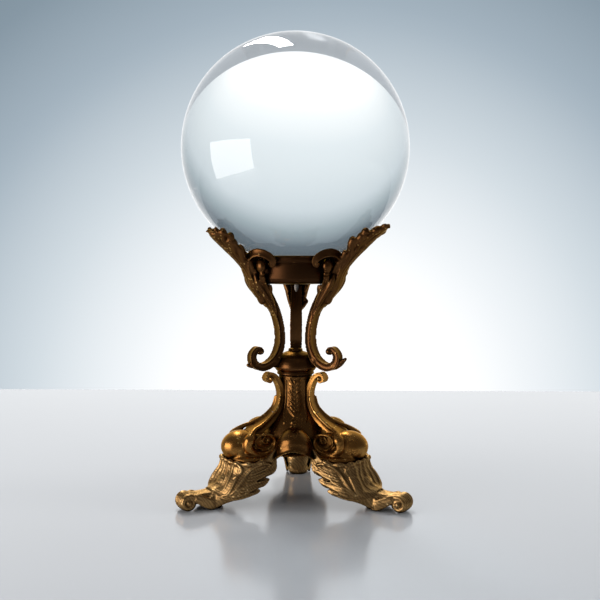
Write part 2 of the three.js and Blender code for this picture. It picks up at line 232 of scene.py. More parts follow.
def mesh_of(name, shells):
    """One mesh of closed shells, with every face turned outward."""
    points, faces, offset = [], [], 0
    for shell_points, shell_faces in shells:
        points.append(shell_points)
        faces += [tuple(k + offset for k in face) for face in shell_faces]
        offset += len(shell_points)
    mesh = bpy.data.meshes.new(name)
    mesh.from_pydata(np.vstack(points), [], faces)
    mesh.validate()
    bm = bmesh.new()
    bm.from_mesh(mesh)
    bmesh.ops.recalc_face_normals(bm, faces=bm.faces)
    bm.to_mesh(mesh)
    bm.free()
    return mesh


def fused(name, shells, voxel, smoothing=2):
    """The shells fused into one skin by a voxel remesh, still in millimetres."""
    body = bpy.data.objects.new(name + "_rough", mesh_of(name + "_rough", shells))
    bpy.context.scene.collection.objects.link(body)
    remesh = body.modifiers.new("fuse", "REMESH")
    remesh.mode = "VOXEL"
    remesh.voxel_size = voxel
    smooth = body.modifiers.new("soften", "SMOOTH")
    smooth.factor = 0.5
    smooth.iterations = smoothing
    graph = bpy.context.evaluated_depsgraph_get()
    mesh = bpy.data.meshes.new_from_object(body.evaluated_get(graph))
    mesh.name = name
    rough = body.data
    bpy.data.objects.remove(body)
    bpy.data.meshes.remove(rough)
    return mesh


def points_of(mesh):
    co = np.zeros(len(mesh.vertices) * 3)
    mesh.vertices.foreach_get("co", co)
    return co.reshape(-1, 3)


def set_points(mesh, points):
    mesh.vertices.foreach_set("co", points.reshape(-1))
    mesh.update()


def stand_clear(mesh):
    """Presses a casting's skin back, so that it stays 0.3 mm clear of the cup and the ball."""
    gap = 0.3
    p = points_of(mesh)
    radius = np.hypot(p[:, 0], p[:, 1])
    wall = np.interp(p[:, 2], [104, 106.3, 109, 113.5, 116.4, 117.2, 119.8],
                     [20.2, 20.9, 20.3, 20.2, 20.6, 21.2, 21.0]) + gap
    depth_in = wall - radius
    depth_up = p[:, 2] - (CUP_BOTTOM - gap)
    inside = (depth_in > 0) & (depth_up > 0) & (p[:, 2] < CUP_RIM + 1)
    under = inside & (depth_up < depth_in)
    beside = inside & ~under
    p[under, 2] = CUP_BOTTOM - gap
    p[beside, :2] *= (wall / np.maximum(radius, 1e-6))[beside, None]
    centre = np.array([0, 0, BALL_UP])
    away = p - centre
    distance = np.linalg.norm(away, axis=1)
    near = distance < BALL_RADIUS + gap
    p[near] = centre + away[near] * ((BALL_RADIUS + gap) / distance[near])[:, None]
    set_points(mesh, p)


def piece(name, mesh, material, replaces, degrees=0, body="stand"):
    """A shaped mesh, in millimetres, set in its place as a piece that rides on a body."""
    placed = mesh.copy()
    placed.name = name
    placed.transform(Matrix.Translation((0, AXIS_Y, 0))
                     @ Matrix.Rotation(math.radians(degrees), 4, "Z")
                     @ Matrix.Diagonal((MM, MM, MM, 1)))
    placed.polygons.foreach_set("use_smooth", [True] * len(placed.polygons))
    placed.materials.clear()
    placed.materials.append(material)
    thing = bpy.data.objects.new(name, placed)
    bpy.context.scene.collection.objects.link(thing)
    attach(thing, body)
    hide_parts(replaces)


# ---------------------------------------------------------------- arms

ARM_STRAP = [  # out, up, half thickness, half width
    [24.6, 112, 1.0, 2.4],
    [21.6, 107.2, 2.4, 3.0],
    [18, 102, 3.3, 3.4],
    [14.8, 97.2, 2.9, 3.5],
    [11.6, 91.8, 2.2, 3.8],
    [9.7, 86.4, 1.95, 4.0],
    [8.7, 80.4, 1.9, 4.0],
    [8.9, 74.8, 2.0, 3.9],
    [10.9, 69.4, 2.25, 3.4],
    [14.6, 65.7, 2.35, 3.2],
    [19.0, 64.5, 2.3, 3.1],
    [22.8, 66.5, 2.2, 3.0],
    [23.6, 70.3, 2.0, 2.9],
    [21.4, 73.2, 1.7, 2.7],
    [19.0, 72.9, 1.5, 2.6],
]
LEAF_RIB = [  # out, up, half width
    [11.4, 89.6, 2.6],
    [13.8, 92.8, 3.0],
    [17.0, 96, 3.6],
    [20.3, 99.4, 4.3],
    [22.9, 103.4, 4.9],
    [24.4, 107.6, 5.2],
    [26.6, 112, 5.3],
    [31.2, 117, 5.9],
    [36.6, 121.7, 7.4],
    [41.2, 125.6, 7.0],
]
LONG_TIP = [[44.8, 128.4, 4.0], [47.4, 130.3, 1.9], [49.8, 131.8, 0.7]]
BLUNT_TIP = [[43.4, 127.6, 5.6], [44.9, 129.3, 3.2]]
HIGH_BEAK = [[22, 0, 65.4, 2.1], [24.8, 0, 66.6, 1.6], [26.9, 0, 68.2, 1.1], [28.4, 0, 69.4, 0.6]]
LOW_BEAK = [[22.4, 0, 66, 2.1], [24.2, 0, 65.8, 1.6], [25.4, 0, 65.8, 1.1], [26.4, 0, 66.1, 0.6]]
ARM_KINDS = {
    "left": {"tip": BLUNT_TIP, "beak": LOW_BEAK, "spur": False},
    "right": {"tip": LONG_TIP, "beak": HIGH_BEAK, "spur": False},
    "rear": {"tip": LONG_TIP, "beak": HIGH_BEAK, "spur": True},
}
LEAF_LOBES = 5.5
LEAF_CUP = 0.085


def leaf_lobe(a, edge):
    return np.abs(np.sin(np.pi * (LEAF_LOBES * a - 0.7 * (1 - edge))))


def leaf_surface(tip):
    rows = spline(LEAF_RIB + tip, 400)
    rib = np.stack([rows[:, 0], rows[:, 1]], 1)
    tangent = unit(np.gradient(rib, axis=0))

    def place(a, b):
        at = a * (len(rows) - 1)
        pick = lambda column: np.interp(at, np.arange(len(rows)), column)
        out, up, half = pick(rows[:, 0]), pick(rows[:, 1]), pick(rows[:, 2])
        t_out, t_up = pick(tangent[:, 0]), pick(tangent[:, 1])
        edge = np.abs(b)
        lobe = leaf_lobe(a, edge)
        lobed = step_up(a, 0.5, 0.62)
        side = b * half * (1 - 0.34 * lobed * (1 - lobe) ** 1.6 * edge**2)
        forward = 2.6 * edge**1.5 * lobed * (1 - 0.7 * a)
        rise = LEAF_CUP * side**2 - 0.9 * lobed * step_up(edge, 0.62, 1) * lobe
        return np.stack([out + t_out * forward - t_up * rise, side,
                         up + t_up * forward + t_out * rise], -1)

    return place


def leaf_relief(a, b):
    edge = np.abs(b)
    flutes = 1.3 * (leaf_lobe(a, edge) - 0.62) * step_up(edge, 0.12, 0.5) * step_up(a, 0.4, 0.6)
    rib = 0.8 * np.exp(-((b / 0.12) ** 2)) * (1 - 0.7 * a)
    return (flutes + rib) * step_up(a, 0.04, 0.3) * (1 - 0.5 * step_up(a, 0.9, 1))


def round_axis(rows):
    """Rows of [degrees from the limb, radius, up, thickness] as [out, side, up, thickness]."""
    rows = np.array(rows, float)
    angle = np.radians(rows[:, 0])
    return np.stack([rows[:, 1] * np.cos(angle), rows[:, 1] * np.sin(angle), rows[:, 2],
                     rows[:, 3]], 1)


def arm_shells(kind):
    grooved = bone(0.22, per_side=5)
    leaf = leaf_surface(kind["tip"])
    shells = [bar(ARM_STRAP, bone(0.3, 0.45), 150)]
    shells.append(sheet(leaf, 190, 61, lambda a, b: 1.9 - 0.7 * np.abs(b), leaf_relief))
    shells.append(egg((19.3, 0, 72.2), (1.9, 2.6, 1.8)))
    # the beak on the outside of the hook
    shells.append(cord(kind["beak"], 24))
    # long veins that run up the back of the leaf and turn out into its lobes
    for b, start, end in ((0.2, 0.1, 0.95), (0.5, 0.12, 0.86)):
        middle = (start + end) / 2
        shells += both_sides(vein(leaf, [[start, b * 0.9, 0.35, 0.8],
                                         [middle - 0.1, b * 0.8, 0.72, 1.0],
                                         [middle + 0.12, b * 0.86, 0.62, 1.0],
                                         [end, min(b * 1.15, 0.98), 0.3, 0.9]], 70))
    # the plump finger of each lobe
    for a, size in ((0.53, 0.9), (0.62, 1.15), (0.72, 1.25), (0.82, 1.15), (0.9, 0.8)):
        shells += both_sides(vein(leaf, [[a - 0.09, 0.3, 0.5 * size, 0.5],
                                         [a - 0.03, 0.6, 1.3 * size, 0.2],
                                         [a + 0.02, 0.86, 1.6 * size, -0.4],
                                         [a + 0.05, 0.98, 1.2 * size, -1.0],
                                         [a + 0.05, 0.84, 0.6 * size, -1.8]], 40))
    # the body between the leaf and the cup
    shells.append(egg((20.8, 0, 107), (3.2, 4.4, 8.4)))
    shells.append(egg((18.0, 0, 100.4), (3.0, 3.6, 6.0)))
    shells.append(egg((24.6, 0, 115.2), (3.2, 5.0, 4.4)))
    # the scroll that laps over the cup's rim
    curl = [[8, 21.8, 101.4, 0.9], [7, 23.8, 106.2, 1.6], [5.6, 25.6, 111.4, 2.1],
            [7.4, 26.3, 115.6, 2.25], [13.6, 26.4, 118.4, 2.35], [22, 26.1, 119.3, 2.35],
            [30, 25.0, 118.3, 2.2], [35.4, 24.0, 116.2, 1.9], [34.8, 23.6, 114.2, 1.6],
            [30.6, 23.6, 114.0, 1.2]]
    shells += both_sides(cord(round_axis(curl), 90, grooved))
    # the drop that hangs in it, and the bud under the drop
    for degrees, radius, up, size in ((20.6, 24.4, 113.4, (2.2, 3.0, 3.4)),
                                      (22.4, 24.4, 109.6, (1.3, 1.6, 1.3))):
        angle = math.radians(degrees)
        centre = (radius * math.cos(angle), radius * math.sin(angle), up)
        shells += both_sides(egg(centre, size))
    shells += both_sides(cord([[22.2, 8.4, 110.0, 1.5], [21.2, 7.2, 107.0, 1.55],
                               [19.2, 5.9, 104, 1.3], [17, 4.8, 100.4, 1.1],
                               [14.2, 3.7, 96, 0.8], [11.6, 2.8, 91, 0.4]], 60, grooved))
    shells += both_sides(egg((17.6, 4.9, 102.8), (1.5, 1.5, 2.6)))
    shells += both_sides(cord([[18.8, 4.9, 105.6, 0.5], [17.3, 5.7, 104.4, 0.9],
                               [16.2, 5.2, 102.4, 1.0], [15.4, 4.0, 99.4, 0.6]], 30))
    # the folded leaf on each flank of the front
    shells += both_sides(cord([[24.4, 5.2, 109.4, 0.6], [23.6, 5.6, 106.4, 1.2],
                               [21.8, 5.3, 103.2, 1.4], [19.2, 4.7, 99.8, 1.2],
                               [16.6, 4.0, 96.4, 1.0], [14.2, 3.4, 93, 0.5]], 50))
    # the pointed leaflet that only one flank has
    if kind["spur"]:
        shells.append(cord([[11.4, -1.6, 90.4, 0.8], [12.9, -3.2, 92.6, 1.3],
                            [13.6, -5.8, 94.8, 0.5]], 20))
        shells.append(cord([[15.2, -2.2, 98, 1.0], [14.6, -3.6, 96.4, 1.3],
                            [13.7, -5.9, 94.8, 0.5]], 20))
    # the root that is screwed to the collar
    shells.append(egg((10.6, 0, 67.2), (3.4, 2.4, 3.6)))
    return shells


# ---------------------------------------------------------------- brackets

BRACKET_STRAP = [  # out, up, half thickness, half width
    [13.6, 58.4, 0.8, 2.6],
    [14.9, 57.3, 0.9, 2.8],
    [16.5, 58.8, 1.1, 2.9],
    [14.9, 60.8, 1.3, 2.9],
    [12.2, 59.9, 1.4, 2.9],
    [10.2, 57.2, 1.6, 2.85],
    [8.7, 53.8, 1.8, 2.8],
    [8.1, 50, 1.9, 2.8],
    [8.9, 45.6, 1.9, 2.9],
    [11.2, 41.6, 1.9, 3.1],
    [14.9, 38.2, 2.0, 3.5],
    [19.6, 35.3, 2.1, 4.3],
    [24.6, 32.9, 2.2, 5.4],
    [29, 30.6, 2.4, 6.0],
]

VOLUTE = {"out": 22.8, "up": 28.3, "eye_out": 18.9, "eye_up": 30.4, "turns": 2.75, "side": 8.0,
          "disc_out": 7.6, "disc_up": 5.1, "disc_side": 7.45, "ring_out": 7.2, "ring_up": 5.3,
          "start": 38, "wire": 0.45, "swell": 2.2}


def volute_spiral():
    """The strap's raised edge, which runs down into the scroll's spiral and in to its eye."""
    side = VOLUTE["side"]
    edge = [[9.7, 2.7, 49.6, 0.55], [11.0, 2.9, 45.2, 0.6], [13.4, 3.2, 42.2, 0.65],
            [17, 3.8, 39.4, 0.75], [21.4, 5.0, 37.0, 0.95], [25.8, 6.6, 35.2, 1.2]]
    t = np.linspace(0, 1, 60)
    angle = math.radians(VOLUTE["start"]) - 2 * np.pi * VOLUTE["turns"] * t
    shrink = (1 - t) ** 0.9
    out = VOLUTE["out"] + (VOLUTE["eye_out"] - VOLUTE["out"]) * t**0.75
    up = VOLUTE["up"] + (VOLUTE["eye_up"] - VOLUTE["up"]) * t**0.75
    thick = VOLUTE["wire"] + VOLUTE["swell"] * np.clip(1 - t * 2.9, 0, 1)
    rows = np.stack([out + (VOLUTE["ring_out"] * shrink + 0.3) * np.cos(angle),
                     side + 0.5 - 0.6 * step_up(t, 0.2, 0.5),
                     up + (VOLUTE["ring_up"] * shrink + 0.3) * np.sin(angle), thick], 1)
    return cord(np.vstack([edge, rows]), 420)


def foot_plate():
    """The thick plate under the bracket, which fills the leg's upper edge."""
    outline = spline([[35.7, 0], [35.5, 4.2], [34.2, 8.4], [29.8, 12.0], [23.6, 13.0],
                      [17.6, 12.6], [16.2, 11.0], [15.8, 5.5], [15.8, 0]], 60)
    outline = np.vstack([outline, outline[-2:0:-1] * np.array([1, -1])])
    middle = np.array([26.0, 0.0])
    rings = [np.column_stack([middle + (outline - middle) * size, np.full(len(outline), up)])
             for size, up in ((1, 20.2), (1, 22.4), (0.96, 23.2), (0.88, 23.8))]
    return rings_shell(np.array(rings))


def bracket_shells():
    shells = [bar(BRACKET_STRAP, bone(0.24), 150)]
    shells.append(egg((14.7, 0, 58.9), (1.3, 3.6, 1.3)))
    shells.append(egg((30.0, 0, 27.6), (9.4, 8.0, 7.4), 30, 48))
    shells.append(egg((26.4, 0, 26.8), (10, 8.1, 6.6), 30, 48))
    shells.append(egg((28.4, 0, 24.2), (8.2, 9.4, 4.2), 24, 48))
    shells.append(foot_plate())
    # the disc that both spirals lie on
    u = full_turn(48)
    rings = [np.stack([VOLUTE["out"] + VOLUTE["disc_out"] * np.cos(u), np.full(48, side),
                       VOLUTE["up"] + VOLUTE["disc_up"] * np.sin(u)], 1)
             for side in np.linspace(-VOLUTE["disc_side"], VOLUTE["disc_side"], 9)]
    shells.append(rings_shell(np.array(rings)))
    shells += both_sides(volute_spiral())
    shells += both_sides(egg((VOLUTE["eye_out"], VOLUTE["side"] - 0.3, VOLUTE["eye_up"]),
                             (1.2, 1.1, 1.1)))
    return shells


# ---------------------------------------------------------------- legs

LEG_NET = [  # rows down the leg; each goes from the ridge in front, round to the leaf's edge
    [[36.4, 0, 21.4], [36.2, 4.5, 21.2], [34.8, 9.0, 21.0], [30.2, 12.9, 21.2],
     [24.0, 14.0, 22.6], [18.4, 13.9, 27.4]],
    [[36.9, 0, 17.2], [36.9, 4.5, 16.9], [36.2, 9.2, 16.4], [31.4, 12.9, 16.2],
     [24.6, 13.8, 16.8], [17.9, 13.7, 18.2]],
    [[38.2, 0, 14.0], [38.5, 4.8, 13.6], [38.9, 9.8, 12.6], [34.6, 13.6, 11.8],
     [28.4, 14.0, 11.8], [22.8, 13.8, 11.9]],
    [[40.0, 0, 11.2], [40.3, 4.6, 10.5], [40.9, 9.9, 9.0], [37.6, 13.1, 8.0],
     [32.6, 13.6, 7.8], [27.6, 13.4, 7.9]],
    [[42.4, 0, 9.6], [42.5, 3.8, 9.0], [42.5, 7.4, 7.6], [41.2, 9.6, 6.0],
     [38.6, 10.6, 5.4], [35.6, 11.4, 6.2]],
    [[46.0, 0, 8.4], [46.0, 2.4, 8.1], [46.0, 4.2, 7.0], [45.9, 5.2, 5.0],
     [45.6, 5.6, 3.0], [45.2, 5.7, 1.0]],
]


def leaf_edge_lobe(a):
    return np.abs(np.sin(np.pi * (a / 0.2 + 0.5)))


def leg_place(a, b):
    fine = np.array([spline(row, 61) for row in LEG_NET])
    net = np.stack([spline(fine[:, k], 101) for k in range(61)], 1)
    lobed = step_up(a, 0.12, 0.2) * (1 - step_up(a, 0.56, 0.66))
    notch = (1 - leaf_edge_lobe(a)) ** 3
    reach = np.abs(b) * (1 - 0.16 * notch * lobed * step_up(np.abs(b), 0.6, 1))
    row, column = a * 100, reach * 60
    i, j = np.minimum(row.astype(int), 99), np.minimum(column.astype(int), 59)
    u, v = (row - i)[..., None], (column - j)[..., None]
    point = ((1 - u) * ((1 - v) * net[i, j] + v * net[i, j + 1])
             + u * ((1 - v) * net[i + 1, j] + v * net[i + 1, j + 1]))
    return point * np.stack([np.ones_like(b), np.sign(b), np.ones_like(b)], -1)


def leg_relief(a, b):
    reach = np.abs(b)
    lobes = 0.9 * (leaf_edge_lobe(a - 0.16 * (1 - reach)) - 0.6) * step_up(reach, 0.5, 0.85)
    lobes = lobes * step_up(a, 0.14, 0.24) * (1 - step_up(a, 0.56, 0.7))
    hatch = 0.14 * np.sin(2 * np.pi * (24 * a + 10 * reach)) * step_up(reach, 0.45, 0.6)
    return (lobes + hatch) * (1 - step_up(a, 0.9, 1)) * step_up(a, 0, 0.06)


def leg_vein(rows, steps):
    lifted = [[a, b, radius * 1.15, height + 0.4] for a, b, radius, height in rows]
    return vein(leg_place, lifted, steps, facing=-1)


def leg_veins():
    shells = [leg_vein([[0.0, 0, 0.6, 0.6], [0.3, 0, 0.7, 0.7], [0.6, 0, 0.6, 0.7],
                        [0.94, 0, 0.4, 0.3]], 60)]
    for top, middle, low in ((0.15, 0.2, 0.22), (0.31, 0.34, 0.36), (0.44, 0.46, 0.5)):
        shells += both_sides(leg_vein([[0.0, top + 0.03, 0.45, 0.5], [0.1, top, 0.5, 0.55],
                                       [0.35, middle, 0.55, 0.6], [0.62, middle, 0.5, 0.6],
                                       [0.9, low, 0.3, 0.3]], 80))
    curl = [[0.02, 0.33, 0.4, 0.5], [0.03, 0.42, 0.6, 0.7], [0.1, 0.48, 0.6, 0.7],
            [0.22, 0.46, 0.5, 0.6], [0.3, 0.4, 0.35, 0.5]]
    shells += both_sides(leg_vein(curl, 60))
    lobe = [[0.66, 0.5, 0.3, 0.6], [0.4, 0.54, 0.5, 0.7], [0.16, 0.57, 0.6, 0.7],
            [0.05, 0.66, 0.6, 0.7], [0.05, 0.8, 0.55, 0.7], [0.12, 0.9, 0.5, 0.7]]
    shells += both_sides(leg_vein(lobe, 90))
    for tip, edge in ((0.2, 0.97), (0.4, 0.97), (0.585, 0.97)):
        shells += both_sides(leg_vein([[tip + 0.34, 0.5, 0.25, 0.5], [tip + 0.16, 0.7, 0.5, 0.6],
                                       [tip + 0.03, 0.86, 0.55, 0.6], [tip, edge, 0.3, 0.5]],
                                      40))
    for row in np.linspace(0.13, 0.56, 9):
        shells += both_sides(leg_vein([[row + 0.07, 0.62, 0.18, 0.75],
                                       [row + 0.02, 0.76, 0.24, 0.8],
                                       [row, 0.88, 0.16, 0.75]], 16))
    return shells


FOOT = {"out": 57.7, "up": 4.15, "radius": 4.15, "half_width": 3.8}


def foot_roll():
    side = np.linspace(-1, 1, 61)
    radius = FOOT["radius"] * (1 - 0.06 * side**6) - 0.75 * np.cos(side * np.pi * 2.5) ** 2
    around = 64
    u = full_turn(around)
    rings = np.stack([FOOT["out"] + radius[:, None] * np.cos(u),
                      np.repeat(side[:, None] * FOOT["half_width"], around, 1),
                      FOOT["up"] + radius[:, None] * np.sin(u)], -1)
    return rings_shell(rings)


def foot_spiral():
    t = np.linspace(0, 1, 70)
    angle = math.radians(120) - 2 * np.pi * 1.2 * t
    reach = 3.35 - 1.9 * t
    rows = np.stack([FOOT["out"] + reach * np.cos(angle),
                     np.full(70, FOOT["half_width"] + 0.1),
                     FOOT["up"] + reach * np.sin(angle), 1.1 - 0.3 * t], 1)
    return cord(rows, 70)


def on_table(shells):
    """The shells with everything pressed up to the table top, so that the foot stands flat."""
    return [(np.column_stack([points[:, :2], np.maximum(points[:, 2], 0.0)]), faces)
            for points, faces in shells]


def leg_top(a, b):
    """The flat top that the bracket stands on."""
    rim = leg_place(np.zeros_like(b), np.abs(b) ** 0.7)
    out = 17 + (rim[..., 0] - 17) * a * 0.97
    return np.stack([out, np.sign(b) * rim[..., 1] * 0.96, 0 * b + LEG_SHELF_UP], -1)


def leg_shells():
    shells = [sheet(leg_place, 130, 141, 1.8, leg_relief, facing=-1)]
    shells += leg_veins()
    shells.append(sheet(leg_top, 20, 61, 1.6))
    # the leaf's curled upper edge
    rim = [[0.0, b, 0.8 + 0.35 * math.cos(34 * b), 0.4] for b in np.linspace(-0.8, 0.8, 60)]
    shells.append(leg_vein(rim, 240))
    shells.append(foot_roll())
    shells += both_sides(foot_spiral())
    shells += both_sides(egg((FOOT["out"], FOOT["half_width"] + 0.3, FOOT["up"]),
                             (1.5, 1.5, 1.5)))
    for side in (-2.9, -0.97, 0.97, 2.9):
        shells.append(cord([[42.4, side * 1.2, 8.0, 0.7], [45.4, side * 1.1, 7.4, 0.9],
                            [49.4, side, 7.0, 1.0], [53, side, 6.9, 1.0],
                            [56.4, side, 7.0, 1.0], [59.4, side, 6.4, 0.8]], 40))
    shells.append(bar([[43, 5.2, 3.0, 5.0], [46.5, 5.0, 2.9, 4.9], [50, 5.2, 2.4, 4.5],
                       [55, 5.0, 2.4, 3.6]], bone(0), 24))
    shells += both_sides(egg((46.4, 5.0, 5.3), (1.9, 1.5, 1.6)))
    # the hatched leaf that laps down each side of the foot to the table
    for lift, size in ((2.3, 0.8), (1.5, 0.8), (0.5, 0.8), (-0.5, 0.8), (-1.5, 0.75)):
        shells += both_sides(cord([[56.6, 3.9, 6.9 + lift * 0.1, 0.4 * size],
                                   [53.8, 4.7, 5.6 + lift * 0.75, size],
                                   [50.6, 5.4, 3.9 + lift, size],
                                   [47.6, 5.9, 2.5 + lift, size],
                                   [45.0, 5.9, 2.2 + lift * 0.8, 0.8 * size]], 40))
    for out in np.linspace(46, 54.4, 10):
        up = 2.4 + (out - 46) * 0.42
        side = 6.75 - (out - 46) * 0.16
        shells += both_sides(cord([[out - 0.6, side - 0.1, up + 1.2, 0.2],
                                   [out + 0.2, side, up, 0.28],
                                   [out + 0.8, side - 0.3, up - 1.1, 0.2]], 10))
    # the rough inner side of the ankle
    shells.append(egg((43.4, 0, 3.4), (4.2, 5.4, 5.4)))
    shells.append(egg((39.2, 0, 8.8), (2.8, 5.6, 5.8)))
    shells.append(cord([[39.6, 0, 0.6, 0.5], [39.0, 0, 4, 0.6], [40.4, 0, 7.4, 0.5]], 20))
    return on_table(shells)


LEG_SHELF_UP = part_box("leg_rear")[1].z / MM - 3.0

# ---------------------------------------------------------------- column, collar and cup

COLUMN_WALL = [
    [8.3, 59.7], [8.0, 57], [7.8, 53], [7.7, 49.6], [8.2, 45.8], [9.6, 42.6], [11.6, 39.8],
    [13.6, 37], [15.2, 34], [16.6, 31], [18.2, 28], [19.8, 25.4], [20.6, 23.2],
]
COLUMN_AROUND = 144
COLUMN_BORE = 2.4
ROSETTE = {"up": 37.4, "reach": 1.3, "petals": 5}


def wall_radius(up):
    rows = np.array(COLUMN_WALL)[::-1]
    return np.interp(up, rows[:, 1], rows[:, 0])


HOOD = {"out": 19.8, "top": 37.2, "rim": 22.2, "arch": 5.2, "wall": 1.6, "ceiling": 34.2}


def hood_shell():
    count, around = 44, 72
    t = np.linspace(0.02, 1, count)[:, None]
    u = full_turn(around)[None]
    rim = HOOD["rim"] + HOOD["arch"] * np.cos(u) ** 2
    up = HOOD["top"] - (HOOD["top"] - rim) * t
    radius = np.interp(t, [0, 0.03, 0.08, 0.16, 0.28, 0.42, 0.58, 0.74, 0.87, 0.95, 1],
                       [0, 2.4, 4.0, 5.5, 7.0, 8.0, 8.5, 8.6, 8.8, 9.4, 10.2])
    outer = np.stack([HOOD["out"] + radius * np.cos(u), radius * np.sin(u), up + 0 * u], -1)
    inner_radius = np.maximum(radius - HOOD["wall"], 0.2)
    inner = np.stack([HOOD["out"] + inner_radius * np.cos(u), inner_radius * np.sin(u),
                      np.minimum(up + 0 * u, HOOD["ceiling"])], -1)
    return rings_shell(np.concatenate([outer, inner[::-1]]))


def on_panel(angle, up, proud):
    """A point on the column's wall, angle in degrees from a hood's direction."""
    radius = wall_radius(up) + proud
    return [radius * math.cos(math.radians(angle)), radius * math.sin(math.radians(angle)), up]


def panel_relief():
    """The fern, border and rosette on one panel."""
    shells = []
    stem = [on_panel(0, up, 0.1) + [0.4] for up in (40.8, 45, 49, 53, 57.6)]
    shells.append(cord(stem, 40))
    for up in np.arange(41.0, 55.2, 2.0):
        reach = 2.7 + 0.5 * (up < 50)
        for side in (-1, 1):
            blade = []
            for share, rise, proud, radius in ((0.1, 0, 0.1, 0.35), (0.5, 1.6, 0.3, 0.5),
                                               (1.0, 3.6, 0.05, 0.2)):
                angle = side * math.degrees(reach * share / wall_radius(up + rise))
                blade.append(on_panel(angle, up + rise, proud) + [radius])
            shells.append(cord(blade, 14))
    for side in (-1, 1):
        border = [on_panel(side * angle, up, 0.0) + [0.5]
                  for angle, up in ((34, 58), (35, 53), (35, 48), (34, 44), (30, 40.6),
                                    (22, 37.6))]
        shells.append(cord(border, 50))
    middle, reach = ROSETTE["up"], ROSETTE["reach"]
    for t in np.linspace(0, 2 * np.pi, ROSETTE["petals"] + 1)[:-1]:
        petal = on_panel(math.degrees(reach * math.cos(t) / wall_radius(middle)),
                         middle + reach * math.sin(t), 0.05)
        shells.append(egg(petal, (0.7, 0.85, 0.85), 8, 12))
    shells.append(egg(on_panel(0, middle, 0.5), (0.6, 0.6, 0.6), 8, 12))
    return shells


def turned_by(shell, degrees):
    points, faces = shell
    c, s = math.cos(math.radians(degrees)), math.sin(math.radians(degrees))
    spin = np.array([[c, s, 0], [-s, c, 0], [0, 0, 1]])
    return points @ spin, faces


def column_shells():
    cavity = [[18.8, 23.2], [17.8, 26], [16.2, 28.6], [14.4, 31.6], [12.8, 34.6], [11, 37.4],
              [8.8, 40.4], [7.2, 43.4], [6, 46.4], [5.2, 49.5], [COLUMN_BORE, 49.5]]
    top = [[COLUMN_BORE, COLUMN_WALL[0][1]]]
    profile = np.vstack([top, spline(COLUMN_WALL, 90), spline(cavity, 70), top])
    points = revolved(profile, COLUMN_AROUND).reshape(-1, 3)
    # the skirt is cut away behind the arch of each hood
    from_hood = np.abs((np.degrees(np.arctan2(points[:, 1], points[:, 0])) + 30) % 120 - 60)
    arch = 23.2 + 5.0 * step_up(from_hood, 34, 50)
    points[:, 2] = np.maximum(points[:, 2], arch)
    shells = [(points, ring_faces(len(profile), COLUMN_AROUND))]
    for degrees in HOODS:
        shells.append(turned_by(hood_shell(), degrees))
        shells += [turned_by(shell, degrees) for shell in panel_relief()]
    return shells


def close_rows(profile, longest=0.6):
    """The closed profile with no stretch longer than the given length, so it shades evenly."""
    rows = np.array(profile, float)
    result = []
    for here, after in zip(rows, np.roll(rows, -1, axis=0)):
        count = max(1, int(np.ceil(np.linalg.norm(after - here) / longest)))
        result += [here + (after - here) * k / count for k in range(count)]
    return np.array(result)


def ring_mesh(name, profile, around=160):
    """A turned piece whose profile closes on itself, so that it has a bore."""
    rows = close_rows(profile)
    points = revolved(rows, around).reshape(-1, 3)
    return mesh_of(name, [(points, ring_faces(len(rows), around, closed=True))])


def rounded(profile, bite=0.35, steps=4):
    """The profile with each corner cut to a small curve."""
    rows = np.array(profile, float)
    result = []
    for i, corner in enumerate(rows):
        before, after = rows[i - 1], rows[(i + 1) % len(rows)]
        reach_in = min(bite, np.linalg.norm(corner - before) / 2.1)
        reach_out = min(bite, np.linalg.norm(after - corner) / 2.1)
        start = corner + unit(before - corner) * reach_in
        end = corner + unit(after - corner) * reach_out
        for t in np.linspace(0, 1, steps):
            result.append((1 - t) ** 2 * start + 2 * t * (1 - t) * corner + t**2 * end)
    return result


CUP_PROFILE = [
    [0.4, 105.4], [6, 105.2], [11.5, 104.7], [16, 104.5], [18.6, 104.9], [19.9, 105.8],
    [20.5, 107.2], [20.7, 109.4], [20.75, 112.0],
    [20.7, CUP_RIM - 4.2], [20.5, CUP_RIM - 3.5], [20.9, CUP_RIM - 3.1],
    [21.2, CUP_RIM - 2.5], [21.3, CUP_RIM - 1.4], [21.1, CUP_RIM - 0.4], [20.5, CUP_RIM],
    [19.6, CUP_RIM - 0.4], [19.6, CUP_RIM - 3.6], [17.6, CUP_RIM - 3.6], [17.6, 108.4],
    [16.4, 107], [0.4, 107],
]
DOME_PROFILE = [
    [2.3, 60.0], [8.6, 60.0], [9.2, 60.5], [9.0, 61.2], [8.8, 61.6], [9.4, 62.0], [10.0, 62.8],
    [10.3, 63.8], [10.2, 65.2], [9.7, 66.8], [8.7, 68.4], [7.2, 69.8], [5.4, 70.8], [3.8, 71.3],
    [3.4, 71.6], [3.6, 72.2], [3.2, 72.7], [2.3, 72.8],
]

# ---------------------------------------------------------------- materials


